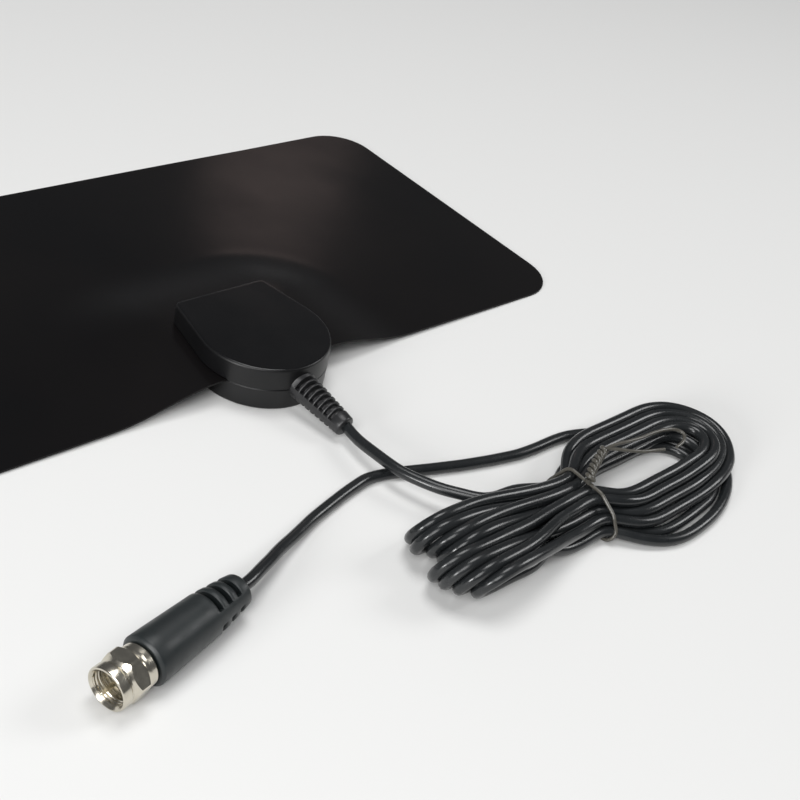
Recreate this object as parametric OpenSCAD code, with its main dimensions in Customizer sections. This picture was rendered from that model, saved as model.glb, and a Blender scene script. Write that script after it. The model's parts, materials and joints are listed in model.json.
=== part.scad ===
// Indoor television antenna: a thin laminated panel, clamped by a small two-shell housing,
// with a coaxial lead, tied in a hank, that ends in a screw-on coaxial plug.
// Origin: under the middle of panel and housing, on the table. +X along the panel, +Y away from the lead.

/* [Panel] */
// Long side of the panel
panel_w = 250; // [200:1:320]
// Short side of the panel
panel_d = 120; // [100:1:160]
// Corner radius of the panel
corner_r = 15; // [8:1:24]
// Thickness of the front film
front_t = 0.2; // [0.15:0.05:0.4]
// Thickness of the foil layer
foil_t = 0.1; // [0.05:0.05:0.2]
// Thickness of the back film
back_t = 0.2; // [0.15:0.05:0.4]
// Border of plain film outside the foil
foil_border = 14; // [8:1:20]
// Gap between the two foil halves
feed_gap = 6; // [4:0.5:8]
// Width of each foil tab that runs into the housing
tab_w = 6; // [4:0.5:7]
// Length over which the panel comes down beside the housing
bend_run = 34; // [24:1:50]

/* [Housing] */
// Greatest width of the housing
house_w = 38.6; // [36:0.2:44]
// Width of the housing at its straight back edge
house_back_w = 32; // [30:0.5:36]
// Length of the housing over the panel
house_grip = 30; // [26:0.5:36]
// Length of the housing's round nose past the panel's edge
nose_l = 12; // [11:0.5:16]
// Distance from the panel's edge to the widest place of the housing
wide_at = 8; // [5:0.5:11]
// Height of the housing
house_h = 13.6; // [12.8:0.1:16]
// Height of the lower shell, up to the parting line
lower_h = 6.85; // [6.5:0.05:7.4]
// Wall thickness of both shells
wall = 1.8; // [1.4:0.1:2.2]
// Thickness of the shells' flat faces
face_t = 1.6; // [1.2:0.1:1.8]
// Rounding of the outer edges
edge_r = 0.8; // [0.4:0.1:1.2]
// Bevel along the parting line
seam = 0.25; // [0.1:0.05:0.4]
// Radius of the clamping posts
post_r = 1.5; // [1.2:0.1:1.8]
// Depth of the posts in their sockets
post_grip = 3; // [2:0.1:4]

/* [Matching board] */
// Width of the board
board_w = 22; // [18:0.5:24]
// Length of the board
board_l = 18; // [16:0.5:19]
// Thickness of the board
board_t = 1; // [0.6:0.1:1.2]
// Distance from the panel's edge to the board
board_at = 3; // [2:0.5:4]
// Width of the balun core
core_w = 6; // [5:0.2:7]
// Length of the balun core
core_l = 4; // [3:0.2:5]
// Height of the balun core
core_h = 3.2; // [2.8:0.1:3.2]
// Radius of the core's two bores
core_bore_r = 0.9; // [0.8:0.05:1]
// Radius of the enamelled wire
wire_r = 0.35; // [0.2:0.05:0.4]
// Shank radius of the contact rivets
rivet_r = 0.8; // [0.6:0.05:1]

/* [Lead] */
// Diameter of the lead
lead_d = 3.2; // [2.8:0.1:3.6]
// Diameter of the lead's insulator
core_d = 1.8; // [1.4:0.1:2]
// Diameter of the lead's inner conductor
conductor_d = 0.6; // [0.4:0.05:0.8]
// Height of the hank at its waist
hank_h = 9; // [8:0.5:12]
// Diameter of the tie's wire
tie_d = 1; // [0.8:0.1:1.2]

/* [Strain relief] */
// Length of the strain relief outside the housing
relief_l = 17.6; // [14:0.2:22]
// Diameter at the housing
relief_root_d = 8.6; // [7.6:0.1:9]
// Diameter at the lead's end
relief_tip_d = 6.2; // [5.4:0.1:6.6]
// Number of slots
relief_slots = 8; // [5:1:9]
// Width of each slot
relief_slot_w = 1.05; // [0.6:0.05:1.1]
// Angle by which it droops
relief_droop = 9; // [0:1:10]
// Angle by which it leans to the right
relief_lean = 6; // [0:1:8]

/* [Plug] */
// Height of the plug's axis over the table
plug_z = 6.3; // [6.3:0.1:8]
// Diameter of the boot at the nut
boot_d = 12.6; // [12:0.1:12.6]
// Diameter of the boot before its ringed tail
boot_waist_d = 11.2; // [10.4:0.1:11.6]
// Diameter of the tail at the lead
boot_tip_d = 8.4; // [7.6:0.1:9]
// Length of the boot up to its ringed tail
boot_l = 19.6; // [18:0.2:24]
// Length of the ringed tail
tail_l = 11.4; // [9:0.2:14]
// Number of rings on the tail
tail_rings = 3; // [2:1:4]
// Diameter of the nut's front collar
collar_d = 10.8; // [10.6:0.1:11.2]
// Width across the flats of the nut
nut_flats = 11; // [10.8:0.1:11.2]
// Length of the nut
nut_l = 10.2; // [9.6:0.2:11]
// Radius of the nut's bore inside its thread
nut_bore_r = 4.4; // [4.3:0.05:4.5]
// Radius of the plug's sleeve
sleeve_r = 3.7; // [3.5:0.05:3.8]
// Radial clearance between the nut's lip and the sleeve
nut_clear = 0.05; // [0.03:0.01:0.08]
// Diameter of the centre pin
pin_d = 1; // [0.8:0.05:1]
// Length of the pin in front of the nut
pin_out = 1.7; // [1:0.1:3]
// Diameter of the conductor behind the pin
conductor_in_d = 0.6; // [0.4:0.05:0.65]

/* [Hidden] */
$fn = 48;

// Panel: where its edge lies, and the heights of its layers at the clamp
edge_y = -(panel_d - nose_l)/2;      // y of the panel's near edge
panel_t = front_t + foil_t + back_t;
clamp_z = lower_h - panel_t/2;       // underside of the back film inside the housing
clamp_half = house_w/2 + 0.2;        // the panel stays flat up to here
clamp_d = house_grip + 0.5;
reach = panel_w/2 - clamp_half;
bend_share = 0.75;                   // share of the height that is lost within bend_run
board_z = clamp_z + panel_t;         // underside of the board
fit = 0.05;                          // clearance of posts, rivets and moulded-in parts
hole_play = 0.2;                     // clearance of the film's holes round the posts

// Grid of the panel: columns by x, rows by y from the near edge
corner_steps = 5;
col_steps = 11;
row_steps = 8;
film_in = panel_w/2 - corner_r - 10; // columns outside this follow the corners
half_cols = concat([0, feed_gap/2, feed_gap/2 + tab_w],
    [for (k = [0:col_steps]) clamp_half + (panel_w/2 - clamp_half)*pow(k/col_steps, 1.35)]);
n_half = len(half_cols);
cols = concat([for (k = [n_half - 1:-1:1]) -half_cols[k]], half_cols);
corner_rows = [for (k = [0:corner_steps]) corner_r*(1 - cos(90*k/corner_steps))];
first_clear = corner_steps + 1;      // row at the end of the housing's grip
rows = concat(corner_rows,
    [for (k = [0:row_steps]) clamp_d + (panel_d - corner_r - clamp_d)*pow(k/row_steps, 1.3)],
    [for (k = [corner_steps - 1:-1:0]) panel_d - corner_rows[k]]);
n_cols = len(cols);
n_rows = len(rows);
mid_col = n_half - 1;

function half_width(y) = panel_w/2 - corner_r + sqrt(pow(corner_r, 2) - pow(
    max(0, corner_r - y, y - panel_d + corner_r), 2));
function col_x(c, y) = abs(c) <= film_in ? c
    : sign(c)*(film_in + (abs(c) - film_in)*(half_width(y) - film_in)/(panel_w/2 - film_in));
function away(x, y) = norm([max(0, abs(x) - clamp_half), max(0, y - clamp_d)]);
function share(d) = bend_share*(0.5 + 0.5*cos(180*min(1, d/bend_run)))
    + (1 - bend_share)*max(0, 1 - d/reach);
function panel_z(x, y) = clamp_z*share(away(x, y));

// Places of the housing's pieces, measured from the panel's edge
posts = [[-house_w/2 + wall + post_r + 1.8, 5.5], [house_w/2 - wall - post_r - 1.8, 5.5],
    [-house_back_w/2 + wall + post_r + 0.1, house_grip - 5], [house_back_w/2 - wall - post_r - 0.1, house_grip - 5]];
rivet_x = feed_gap/2 + tab_w/2;
rivet_y = board_at + board_l/2;
rivet_head_r = rivet_r + 0.7;
rivet_head_t = 0.4;
pad_r = 1;                           // pads that hold the board down
pad_x = board_w/2 - 1.4;
core_y = rivet_y + 2.4;
bore_x = core_w/2 - 1.5;
relief_hole_r = relief_root_d/2 + 0.15;
flange_r = relief_hole_r + 0.8;
flange_t = 1.2;
flange_at = 3.4;                     // distance of the flange behind the nose's face
jacket_at = flange_at + flange_t;
jacket_l = 6.4;
insulator_l = 3.6;
conductor_l = 2.6;
axis_z = lower_h;

// Plug: distances along its axis from the front of the nut
plug_x = -101.4;
plug_y = -128.8;
plug_turn = 13;
nut_gap = 0.3;                       // between the nut and the boot
boot_at = nut_l + nut_gap;
tail_at = boot_at + boot_l;
boot_end = tail_at + tail_l;
collar_l = 2.4;
neck_d = 9.9;                        // the grooves beside the hexagon
lip_l = 1.8;                         // the nut's lip behind the sleeve's flange
flange_l = 1.35;
flange_out_r = nut_bore_r - 0.08;
flange_back = nut_l - lip_l - 0.05;
ferrule_l = 9;
ferrule_t = 0.7;
ferrule_at = boot_at + 2.5;
sleeve_end = ferrule_at + ferrule_l + 2;
sleeve_bore_r = 2.4;
insulator_end = sleeve_end + 1.5;
pin_end = insulator_end + 2;
pin_step = flange_back - flange_l - 0.2; // the pin ends just in front of the insulator
ring_end = 1.2;                      // by which the last ring is thicker
ring_w = (tail_l - ring_end)/tail_rings;
ring_gap = 1.5;

// The lead's route outside the hank, in round numbers
lead_route = [[2, -83.2, 4.2], [1.5, -87, 4.1], [1, -91, 4.5], [1, -96, 5], [1, -101, 5.5],
    [1.5, -106, 5.8], [3.5, -112, 6.2], [6, -117.5, 6.6], [9.5, -122.5, 7.1], [13, -127, 7.5]];
tail_route = [[73, -119.5, 2.2], [67, -116.5, 1.7], [61, -114.5, 1.6], [55, -114, 1.6], [48, -114, 1.6],
    [41, -113.5, 1.6], [32, -111.5, 1.6], [23, -109, 1.6], [14, -106, 1.6], [7, -103.5, 1.6], [1, -101.5, 1.6],
    [-5, -100.5, 1.6], [-13, -102, 1.6], [-21, -104, 1.6], [-28, -106, 1.8], [-33, -108, 2.3], [-38, -110, 3],
    [-43, -112, 3.9], [-48, -114.5, 4.9], [-52.5, -116.5, 5.7], [-57, -118.5, 6.2], [-61.2, -119.5, 6.3]];
hank_z = 1.3;
hank_left = [-7, -137.5];
hank_left_r = 12.5;
hank_waist = [39, -139];             // where the tie draws it in
hank_waist_r = 12;
hank_right = [79, -140.5];
hank_right_r = 22.5;
hank_rise = 4.3;                     // by which the folds stand higher than the waist
hank_slope = [25, -138.5];           // where the folds' slope reaches the waist's height
hank_sink = 1;                       // by which the open end lies lower than the waist
eye = [[58, -139, 1.5], [78.7, -139, 4.3]]; // two rounds (x, y, radius) that the open end's hole spans
tie_gap = 0.3;
tie_play = 0.9;                      // the hank widens within the tie's own thickness

module at_edge() { translate([0, edge_y, 0]) children(); }

// Outline of the housing, seen from above: straight back, sides that spread, round nose
module outline(inset = 0) {
    back_r = 2;
    hull() {
        translate([0, wide_at]) scale([house_w/2 - inset, nose_l + wide_at - inset]) circle(1, $fn = 72);
        for (side = [-1, 1])
            translate([side*(house_back_w/2 - back_r), house_grip - back_r]) circle(back_r - min(inset, 1.5), $fn = 24);
    }
}

module slab(z, inset) { translate([0, 0, z]) linear_extrude(0.02) outline(inset); }

// Outer form of one shell, from its parting line at 0 up to its flat face at h
module shell_form(h) {
    hull() {
        slab(0, seam);
        slab(seam, 0);
        slab(h - edge_r, 0.15);
        slab(h - edge_r*0.3, 0.15 + edge_r*0.3);
        slab(h - 0.02, 0.15 + edge_r);
    }
}

module shell_wall(h, droop) {
    difference() {
        shell_form(h);
        translate([0, 0, -1]) linear_extrude(h - face_t + 1) outline(wall);
        translate([-panel_w/2, 0, -1]) cube([panel_w, panel_d, 1 + panel_t/2]);
        translate([0, -nose_l, 0]) rotate([0, 0, relief_lean]) rotate([90 + droop, 0, 0])
            translate([0, 0, -wall - 1.2]) cylinder(r = relief_hole_r, h = wall + 2.2);
    }
}

// Ribs behind the strain relief's flange, open for the lead
module flange_rib(h) {
    rib_y = -nose_l + jacket_at + 1.2;
    difference() {
        intersection() {
            translate([-house_w/2, rib_y, 0]) cube([house_w, 1, h - 1]);
            linear_extrude(h) outline(wall - 0.5);
        }
        translate([0, rib_y - 1, 1.3]) rotate([-90, 0, 0]) cylinder(r = lead_d/2 + 0.9, h = 3);
        translate([-lead_d/2 - 0.9, rib_y - 1, -1]) cube([lead_d + 1.8, 3, 2.3]);
    }
}

module upper_shell() {
    inner_h = house_h - lower_h - face_t;
    color([0.05, 0.05, 0.055]) at_edge() translate([0, 0, lower_h]) {
        shell_wall(house_h - lower_h, relief_droop);
        flange_rib(house_h - lower_h);
        for (p = posts)
            translate([p[0], p[1], -panel_t/2 - post_grip]) cylinder(r = post_r, h = inner_h + panel_t/2 + post_grip + 0.5);
        for (sx = [-1, 1], y = [board_at + 2, board_at + board_l - 2])
            translate([sx*pad_x, y, panel_t/2 + board_t]) cylinder(r = pad_r, h = inner_h - panel_t/2 - board_t + 0.5);
    }
}

module lower_shell() {
    boss_r = post_r + 1.2;
    color([0.05, 0.05, 0.055]) at_edge() difference() {
        union() {
            translate([0, 0, lower_h]) mirror([0, 0, 1]) {
                shell_wall(lower_h, -relief_droop);
                flange_rib(lower_h);
            }
            intersection() {
                for (p = posts)
                    translate([p[0], p[1], face_t - 0.5]) cylinder(r = boss_r, h = clamp_z - face_t + 0.5);
                linear_extrude(clamp_z) outline(wall - 0.5);
            }
        }
        for (p = posts)
            translate([p[0], p[1], clamp_z - post_grip - 0.2]) cylinder(r = post_r + fit, h = post_grip + 1);
    }
}

// One layer of the panel between two heights over its underside, over the grid cells that keep() picks
module layer(z0, z1, part) {
    keep = function(c, r) c < 0 || r < 0 || c >= n_cols - 1 || r >= n_rows - 1 ? false
        : part == 0 ? true : in_foil(part, c, r);
    index = function(c, r, top) (r*n_cols + c)*2 + top;
    points = [for (r = [0:n_rows - 1], c = [0:n_cols - 1], z = [z0, z1])
        let (x = col_x(cols[c], rows[r])) [x, rows[r], panel_z(x, rows[r]) + z]];
    cells = [for (r = [0:n_rows - 2], c = [0:n_cols - 2]) if (keep(c, r)) [c, r]];
    faces = [for (k = cells) let (c = k[0], r = k[1]) each concat(
        [[index(c, r, 1), index(c, r + 1, 1), index(c + 1, r + 1, 1)],
         [index(c, r, 1), index(c + 1, r + 1, 1), index(c + 1, r, 1)],
         [index(c, r, 0), index(c + 1, r + 1, 0), index(c, r + 1, 0)],
         [index(c, r, 0), index(c + 1, r, 0), index(c + 1, r + 1, 0)]],
        keep(c, r - 1) ? [] : side(index(c, r, 0), index(c + 1, r, 0)),
        keep(c, r + 1) ? [] : side(index(c + 1, r + 1, 0), index(c, r + 1, 0)),
        keep(c - 1, r) ? [] : side(index(c, r + 1, 0), index(c, r, 0)),
        keep(c + 1, r) ? [] : side(index(c + 1, r, 0), index(c + 1, r + 1, 0)))];
    polyhedron(points, faces, convexity = 4);
}

function side(a, b) = [[a, a + 1, b + 1], [a, b + 1, b]];

// Foil: a tab that runs into the housing and a wide field beyond it, on each side of the gap
function in_foil(part, c, r) =
    let (x = abs((cols[c] + cols[c + 1])/2), s = sign(cols[c] + cols[c + 1]), y = (rows[r] + rows[r + 1])/2)
    s == part && x > feed_gap/2 && x < panel_w/2 - foil_border && y > corner_rows[corner_steps - 1]
    && y < panel_d - foil_border && (y > clamp_d || x < feed_gap/2 + tab_w);

module post_holes() {
    for (p = posts) translate([p[0], p[1], 0]) cylinder(r = post_r + hole_play, h = house_h);
}

module rivet_holes() {
    for (sx = [-1, 1]) translate([sx*rivet_x, rivet_y, 0]) cylinder(r = rivet_r + fit, h = house_h);
}

module back_film() {
    color([0.02, 0.02, 0.022]) at_edge() difference() {
        layer(0, back_t, 0);
        post_holes();
        rivet_holes();
    }
}

module front_film() {
    color([0.015, 0.015, 0.017]) at_edge() difference() {
        layer(back_t + foil_t, panel_t, 0);
        post_holes();
        rivet_holes();
    }
}

module foil(part) {
    color([0.75, 0.75, 0.76]) at_edge() difference() {
        layer(back_t, back_t + foil_t, part);
        rivet_holes();
    }
}

module foil_left() { foil(-1); }
module foil_right() { foil(1); }

module matching_board() {
    color([0.08, 0.3, 0.16]) at_edge() difference() {
        translate([-board_w/2, board_at, board_z]) cube([board_w, board_l, board_t]);
        rivet_holes();
    }
}

module balun_core() {
    color([0.2, 0.2, 0.21]) at_edge() translate([0, core_y, board_z + board_t]) difference() {
        translate([0, core_l/2, core_h/2]) rotate([90, 0, 0]) linear_extrude(core_l) hull()
            for (sx = [-1, 1]) translate([sx*(core_w/2 - core_h/2), 0]) circle(core_h/2);
        for (sx = [-1, 1])
            translate([sx*bore_x, core_l/2 + 1, core_h/2]) rotate([90, 0, 0]) cylinder(r = core_bore_r, h = core_l + 2);
    }
}

// Two turns of wire through both bores
module balun_winding() {
    turn_gap = wire_r + 0.06;
    run = core_l/2 + 0.3;
    color([0.72, 0.36, 0.16]) at_edge() translate([0, core_y, board_z + board_t + core_h/2])
        for (sz = [-1, 1]) translate([0, 0, sz*turn_gap]) {
            for (sx = [-1, 1]) translate([sx*bore_x, run, 0]) rotate([90, 0, 0]) cylinder(r = wire_r, h = 2*run, $fn = 16);
            for (turn = [0, 180]) rotate(turn) translate([0, run, 0])
                rotate_extrude(angle = 180, $fn = 32) translate([bore_x, 0]) circle(wire_r, $fn = 16);
        }
}

module chip_capacitors() {
    chip = [2, 1.25, 0.8];
    places = [[-7.6, board_at + 5.5], [7.6, board_at + 5.5], [0, board_at + board_l - 1.4]];
    color([0.62, 0.5, 0.36]) at_edge() for (p = places)
        translate([p[0] - chip[0]/2, p[1] - chip[1]/2, board_z + board_t]) cube(chip);
}

module contact_rivet(s) {
    color([0.82, 0.8, 0.74]) at_edge() translate([s*rivet_x, rivet_y, 0]) {
        translate([0, 0, clamp_z - rivet_head_t]) cylinder(r = rivet_head_r, h = rivet_head_t);
        translate([0, 0, clamp_z - rivet_head_t]) cylinder(r = rivet_r, h = panel_t + board_t + 2*rivet_head_t);
        translate([0, 0, board_z + board_t]) cylinder(r = rivet_head_r, h = rivet_head_t);
    }
}

module contact_rivet_left() { contact_rivet(-1); }
module contact_rivet_right() { contact_rivet(1); }

// Local frame of the strain relief: +Z out of the housing along the lead, 0 at the nose's face
module at_relief() {
    at_edge() translate([0, -nose_l, axis_z]) rotate([0, 0, relief_lean]) rotate([90 + relief_droop, 0, 0]) children();
}

module strain_relief() {
    function taper(s) = relief_root_d/2 + (relief_tip_d - relief_root_d)/2*max(0, s)/relief_l;
    tip_l = 2.6;
    first = 0.3;
    pitch = (relief_l - tip_l - first)/relief_slots;
    slot_core_r = lead_d/2 + 0.7;
    web = 2.2;
    color([0.06, 0.06, 0.065]) at_relief() difference() {
        union() {
            translate([0, 0, -flange_at]) cylinder(r1 = taper(0), r2 = taper(0), h = flange_at);
            cylinder(r1 = taper(0), r2 = taper(relief_l), h = relief_l);
            intersection() {
                translate([0, 0, -jacket_at]) cylinder(r = flange_r, h = flange_t);
                translate([-flange_r, -4, -jacket_at - 1]) cube([2*flange_r, 8, flange_t + 2]);
            }
        }
        for (k = [0:relief_slots - 1]) translate([0, 0, first + k*pitch]) difference() {
            cylinder(r = relief_root_d, h = relief_slot_w);
            translate([0, 0, -1]) cylinder(r = slot_core_r, h = relief_slot_w + 2);
            translate([-relief_root_d, -web/2, -1]) cube([2*relief_root_d, web, relief_slot_w + 2]);
        }
    }
}

module lead_jacket_end() {
    color([0.07, 0.07, 0.075]) at_relief() translate([0, 0, -jacket_at - jacket_l]) cylinder(d = lead_d, h = jacket_l);
}

module lead_insulator() {
    color([0.93, 0.92, 0.88]) at_relief()
        translate([0, 0, -jacket_at - jacket_l - insulator_l]) cylinder(d = core_d, h = insulator_l);
}

// The bare conductor runs on past the insulator and turns down to its pad
module inner_conductor() {
    tip = jacket_at + jacket_l + insulator_l + conductor_l;
    tip_y = -nose_l + tip*cos(relief_droop)*cos(relief_lean);
    tip_x = -tip*cos(relief_droop)*sin(relief_lean);
    tip_z = axis_z + tip*sin(relief_droop);
    color([0.8, 0.45, 0.25]) union() {
        at_relief() translate([0, 0, -tip]) cylinder(d = conductor_d, h = conductor_l);
        at_edge() translate([tip_x, tip_y, board_z + board_t])
            cylinder(d = conductor_d, h = tip_z - board_z - board_t + conductor_d/2);
    }
}

module rod(a, b, r) {
    v = b - a;
    translate(a) rotate([0, acos(v[2]/norm(v)), atan2(v[1], v[0])]) cylinder(r = r, h = norm(v));
}

// The lead's screen, gathered to one side and soldered to its pad
module braid_pigtail() {
    r = 0.45;
    from = [1.3, -nose_l + jacket_at + jacket_l + 0.5, board_z + board_t + r + 0.35];
    to = [5, board_at + 2, board_z + board_t + r];
    color([0.72, 0.7, 0.66]) at_edge() rod(from, to, r);
}

module cable_crimp() {
    crimp_t = 0.4;
    crimp_l = 2.4;
    color([0.75, 0.74, 0.72]) at_relief() translate([0, 0, -jacket_at - jacket_l + 0.8]) difference() {
        cylinder(r = lead_d/2 + crimp_t, h = crimp_l);
        translate([0, 0, -1]) cylinder(r = lead_d/2 + 0.02, h = crimp_l + 2);
    }
}

// A tube of radius r along a list of points, with flat ends
module tube(path, r, sides = 8, up = [0, 0, 1]) {
    last = len(path) - 1;
    tangent = [for (i = [0:last]) let (v = path[min(i + 1, last)] - path[max(i - 1, 0)]) v/norm(v)];
    across = [for (t = tangent) let (v = cross(t, up)) v/norm(v)];
    points = [for (i = [0:last]) let (u = cross(across[i], tangent[i])) for (k = [0:sides - 1])
        path[i] + r*(cos(360*k/sides)*across[i] + sin(360*k/sides)*u)];
    walls = [for (i = [0:last - 1], k = [0:sides - 1]) let (a = i*sides + k, b = i*sides + (k + 1)%sides)
        each [[a, b, a + sides], [b, b + sides, a + sides]]];
    start = [[for (k = [sides - 1:-1:0]) k]];
    end = [[for (k = [0:sides - 1]) last*sides + k]];
    polyhedron(points, concat(walls, start, end), convexity = 6);
}

module cord_lead() { color([0.05, 0.05, 0.055]) tube(lead_route, lead_d/2); }
module cord_tail() { color([0.05, 0.05, 0.055]) tube(tail_route, lead_d/2); }

// The tied turns as one form: folds that stand up at the left, the waist, and the open end with its hole
module cord_hank() {
    module stack(place, r, h) { translate([place[0], place[1], hank_z]) cylinder(r = r, h = h); }
    color([0.06, 0.06, 0.065]) difference() {
        union() {
            hull() {
                stack(hank_left, hank_left_r, hank_h + hank_rise);
                stack(hank_slope, hank_waist_r, hank_h);
            }
            hull() {
                stack(hank_slope, hank_waist_r, hank_h);
                stack(hank_waist, hank_waist_r, hank_h);
            }
            hull() {
                stack(hank_waist, hank_waist_r, hank_h);
                stack(hank_right, hank_right_r, hank_h - hank_sink);
            }
        }
        hull() for (e = eye) translate([e[0], e[1], 0]) cylinder(r = e[2], h = 2*hank_h);
    }
}

// A loop of wire round the hank's waist, twisted shut on top
module wire_tie() {
    x = hank_waist[0];
    y = hank_waist[1];
    out = tie_gap + tie_d/2;
    half = hank_waist_r + tie_play + out;
    low = hank_z - out;
    high = hank_z + hank_h + out;
    turn_r = 1.2;
    arc = function(cy, cz, from) [for (a = [0:30:90]) [x, cy + turn_r*cos(from + a), cz + turn_r*sin(from + a)]];
    loop = concat(
        [[x, y + 0.5, high]],
        arc(y - half + turn_r, high - turn_r, 90),
        arc(y - half + turn_r, low + turn_r, 180),
        arc(y + half - turn_r, low + turn_r, 270),
        arc(y + half - turn_r, high - turn_r, 0),
        [[x, y + 1.6, high]]);
    knot = [x, y + 1, high + 0.2];
    knot_end = [x + 11, y + 5, high + 1.4];
    color([0.08, 0.08, 0.085]) {
        tube(loop, tie_d/2, 6, [1, 0, 0]);
        rod(knot, knot_end, tie_d*0.85);
        rod(knot_end - [0.4, 0.2, 0], knot_end + [17, -3, -0.8], tie_d/2);
    }
}

// Local frame of the plug: +Z from the front of the nut towards the lead
module at_plug() {
    translate([plug_x, plug_y, plug_z]) rotate([0, 0, plug_turn]) rotate([0, 90, 0]) children();
}

// Half profile of the boot; with grooves between the tail's rings if cut is true
module boot_profile(cut) {
    rim = 0.6;
    function taper(s) = boot_waist_d/2 + (boot_tip_d - boot_waist_d)/2*(s - tail_at)/tail_l;
    difference() {
        polygon([[0, boot_at], [boot_d/2 - rim, boot_at], [boot_d/2, boot_at + rim], [boot_d/2, boot_at + 2],
            [boot_waist_d/2, tail_at], [boot_tip_d/2, boot_end], [0, boot_end]]);
        if (cut) for (k = [0:tail_rings - 1]) translate([boot_tip_d/2 - 1.4, tail_at + k*ring_w]) square([5, ring_gap]);
    }
}

module connector_boot() {
    web = 3;
    web_turn = 63;                   // the webs lie low on the far side and high on the near one
    color([0.16, 0.19, 0.2]) at_plug() difference() {
        union() {
            rotate_extrude() boot_profile(true);
            intersection() {
                rotate_extrude() boot_profile(false);
                rotate(web_turn) translate([-boot_d, -web/2, boot_at]) cube([2*boot_d, web, boot_end - boot_at]);
            }
        }
        translate([0, 0, boot_at - 1]) cylinder(r = sleeve_r, h = sleeve_end - boot_at + 1);
        translate([0, 0, ferrule_at]) cylinder(r = sleeve_r + ferrule_t, h = ferrule_l);
        cylinder(r = sleeve_bore_r, h = insulator_end);
        cylinder(d = conductor_in_d, h = pin_end);
    }
}

module crimp_ferrule() {
    color([0.7, 0.69, 0.66]) at_plug() translate([0, 0, ferrule_at]) difference() {
        cylinder(r = sleeve_r + ferrule_t, h = ferrule_l);
        translate([0, 0, -1]) cylinder(r = sleeve_r, h = ferrule_l + 2);
    }
}

module connector_sleeve() {
    color([0.78, 0.75, 0.68]) at_plug() difference() {
        union() {
            translate([0, 0, flange_back - flange_l]) cylinder(r = flange_out_r, h = flange_l);
            translate([0, 0, flange_back - flange_l]) cylinder(r = sleeve_r, h = sleeve_end - flange_back + flange_l);
        }
        cylinder(r = sleeve_bore_r, h = sleeve_end + 1);
    }
}

module connector_insulator() {
    front = flange_back - flange_l;
    color([0.93, 0.92, 0.88]) at_plug() difference() {
        translate([0, 0, front]) cylinder(r = sleeve_bore_r, h = insulator_end - front);
        cylinder(d = conductor_in_d, h = insulator_end + 1);
    }
}

module centre_pin() {
    point = 0.4;
    color([0.85, 0.72, 0.42]) at_plug() translate([0, 0, -pin_out]) rotate_extrude()
        polygon([[0, 0], [pin_d/2 - point/2, 0], [pin_d/2, point],
            [pin_d/2, pin_step + pin_out], [conductor_in_d/2, pin_step + pin_out],
            [conductor_in_d/2, pin_end + pin_out], [0, pin_end + pin_out]]);
}

// The nut: front collar, hexagon with turned-down corners, rear collar, lip behind the sleeve's flange
module coupling_nut() {
    corner_d = nut_flats/cos(30);
    hex_from = collar_l + 0.8;
    hex_to = nut_l - collar_l;
    slope = 1.1;
    color([0.72, 0.69, 0.6]) at_plug() difference() {
        union() {
            rotate_extrude() polygon([[0, 0], [collar_d/2 - 0.5, 0], [collar_d/2, 0.5], [collar_d/2, collar_l],
                [neck_d/2, collar_l + 0.5], [neck_d/2, nut_l - collar_l + 0.3], [collar_d/2 - 0.2, nut_l - collar_l + 0.8],
                [collar_d/2 - 0.2, nut_l - 0.4], [collar_d/2 - 0.6, nut_l], [0, nut_l]]);
            intersection() {
                translate([0, 0, hex_from]) cylinder(d = corner_d, h = hex_to - hex_from, $fn = 6);
                rotate_extrude() polygon([[0, hex_from], [neck_d/2, hex_from], [corner_d/2 - 0.15, hex_from + slope],
                    [corner_d/2 - 0.15, hex_to - slope], [neck_d/2, hex_to], [0, hex_to]]);
            }
        }
        translate([0, 0, -1]) cylinder(r = nut_bore_r, h = nut_l - lip_l + 1);
        cylinder(r = sleeve_r + nut_clear, h = nut_l + 1);
        translate([0, 0, -0.01]) cylinder(r1 = nut_bore_r + 0.5, r2 = nut_bore_r, h = 0.6);
    }
}

front_film();
foil_left();
foil_right();
back_film();
upper_shell();
lower_shell();
matching_board();
balun_core();
balun_winding();
chip_capacitors();
contact_rivet_left();
contact_rivet_right();
lead_jacket_end();
lead_insulator();
inner_conductor();
braid_pigtail();
cable_crimp();
strain_relief();
cord_lead();
cord_hank();
cord_tail();
wire_tie();
connector_boot();
crimp_ferrule();
connector_sleeve();
connector_insulator();
centre_pin();
coupling_nut();
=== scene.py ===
"""Indoor television antenna: the looks of every piece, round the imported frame. Lengths are in metres."""
import json
import math

import bmesh
import bpy
import numpy as np
from mathutils import Matrix, Vector


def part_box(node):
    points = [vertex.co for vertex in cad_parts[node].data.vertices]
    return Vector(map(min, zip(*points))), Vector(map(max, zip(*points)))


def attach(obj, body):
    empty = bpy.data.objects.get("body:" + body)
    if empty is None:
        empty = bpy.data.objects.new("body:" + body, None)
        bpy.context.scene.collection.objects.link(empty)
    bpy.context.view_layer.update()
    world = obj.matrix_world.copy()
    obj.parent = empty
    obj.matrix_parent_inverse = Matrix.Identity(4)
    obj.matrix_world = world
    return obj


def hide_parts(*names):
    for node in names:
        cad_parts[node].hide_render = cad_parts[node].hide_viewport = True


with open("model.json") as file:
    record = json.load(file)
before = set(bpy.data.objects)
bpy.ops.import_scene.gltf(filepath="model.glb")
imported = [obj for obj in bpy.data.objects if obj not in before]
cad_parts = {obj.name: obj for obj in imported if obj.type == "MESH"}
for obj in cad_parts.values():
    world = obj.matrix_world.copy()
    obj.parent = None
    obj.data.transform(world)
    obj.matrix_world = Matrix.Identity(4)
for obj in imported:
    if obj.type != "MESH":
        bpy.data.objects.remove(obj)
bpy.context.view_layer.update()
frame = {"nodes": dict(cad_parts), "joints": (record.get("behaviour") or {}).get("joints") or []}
MM = 0.001
TAU = 2 * math.pi

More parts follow.
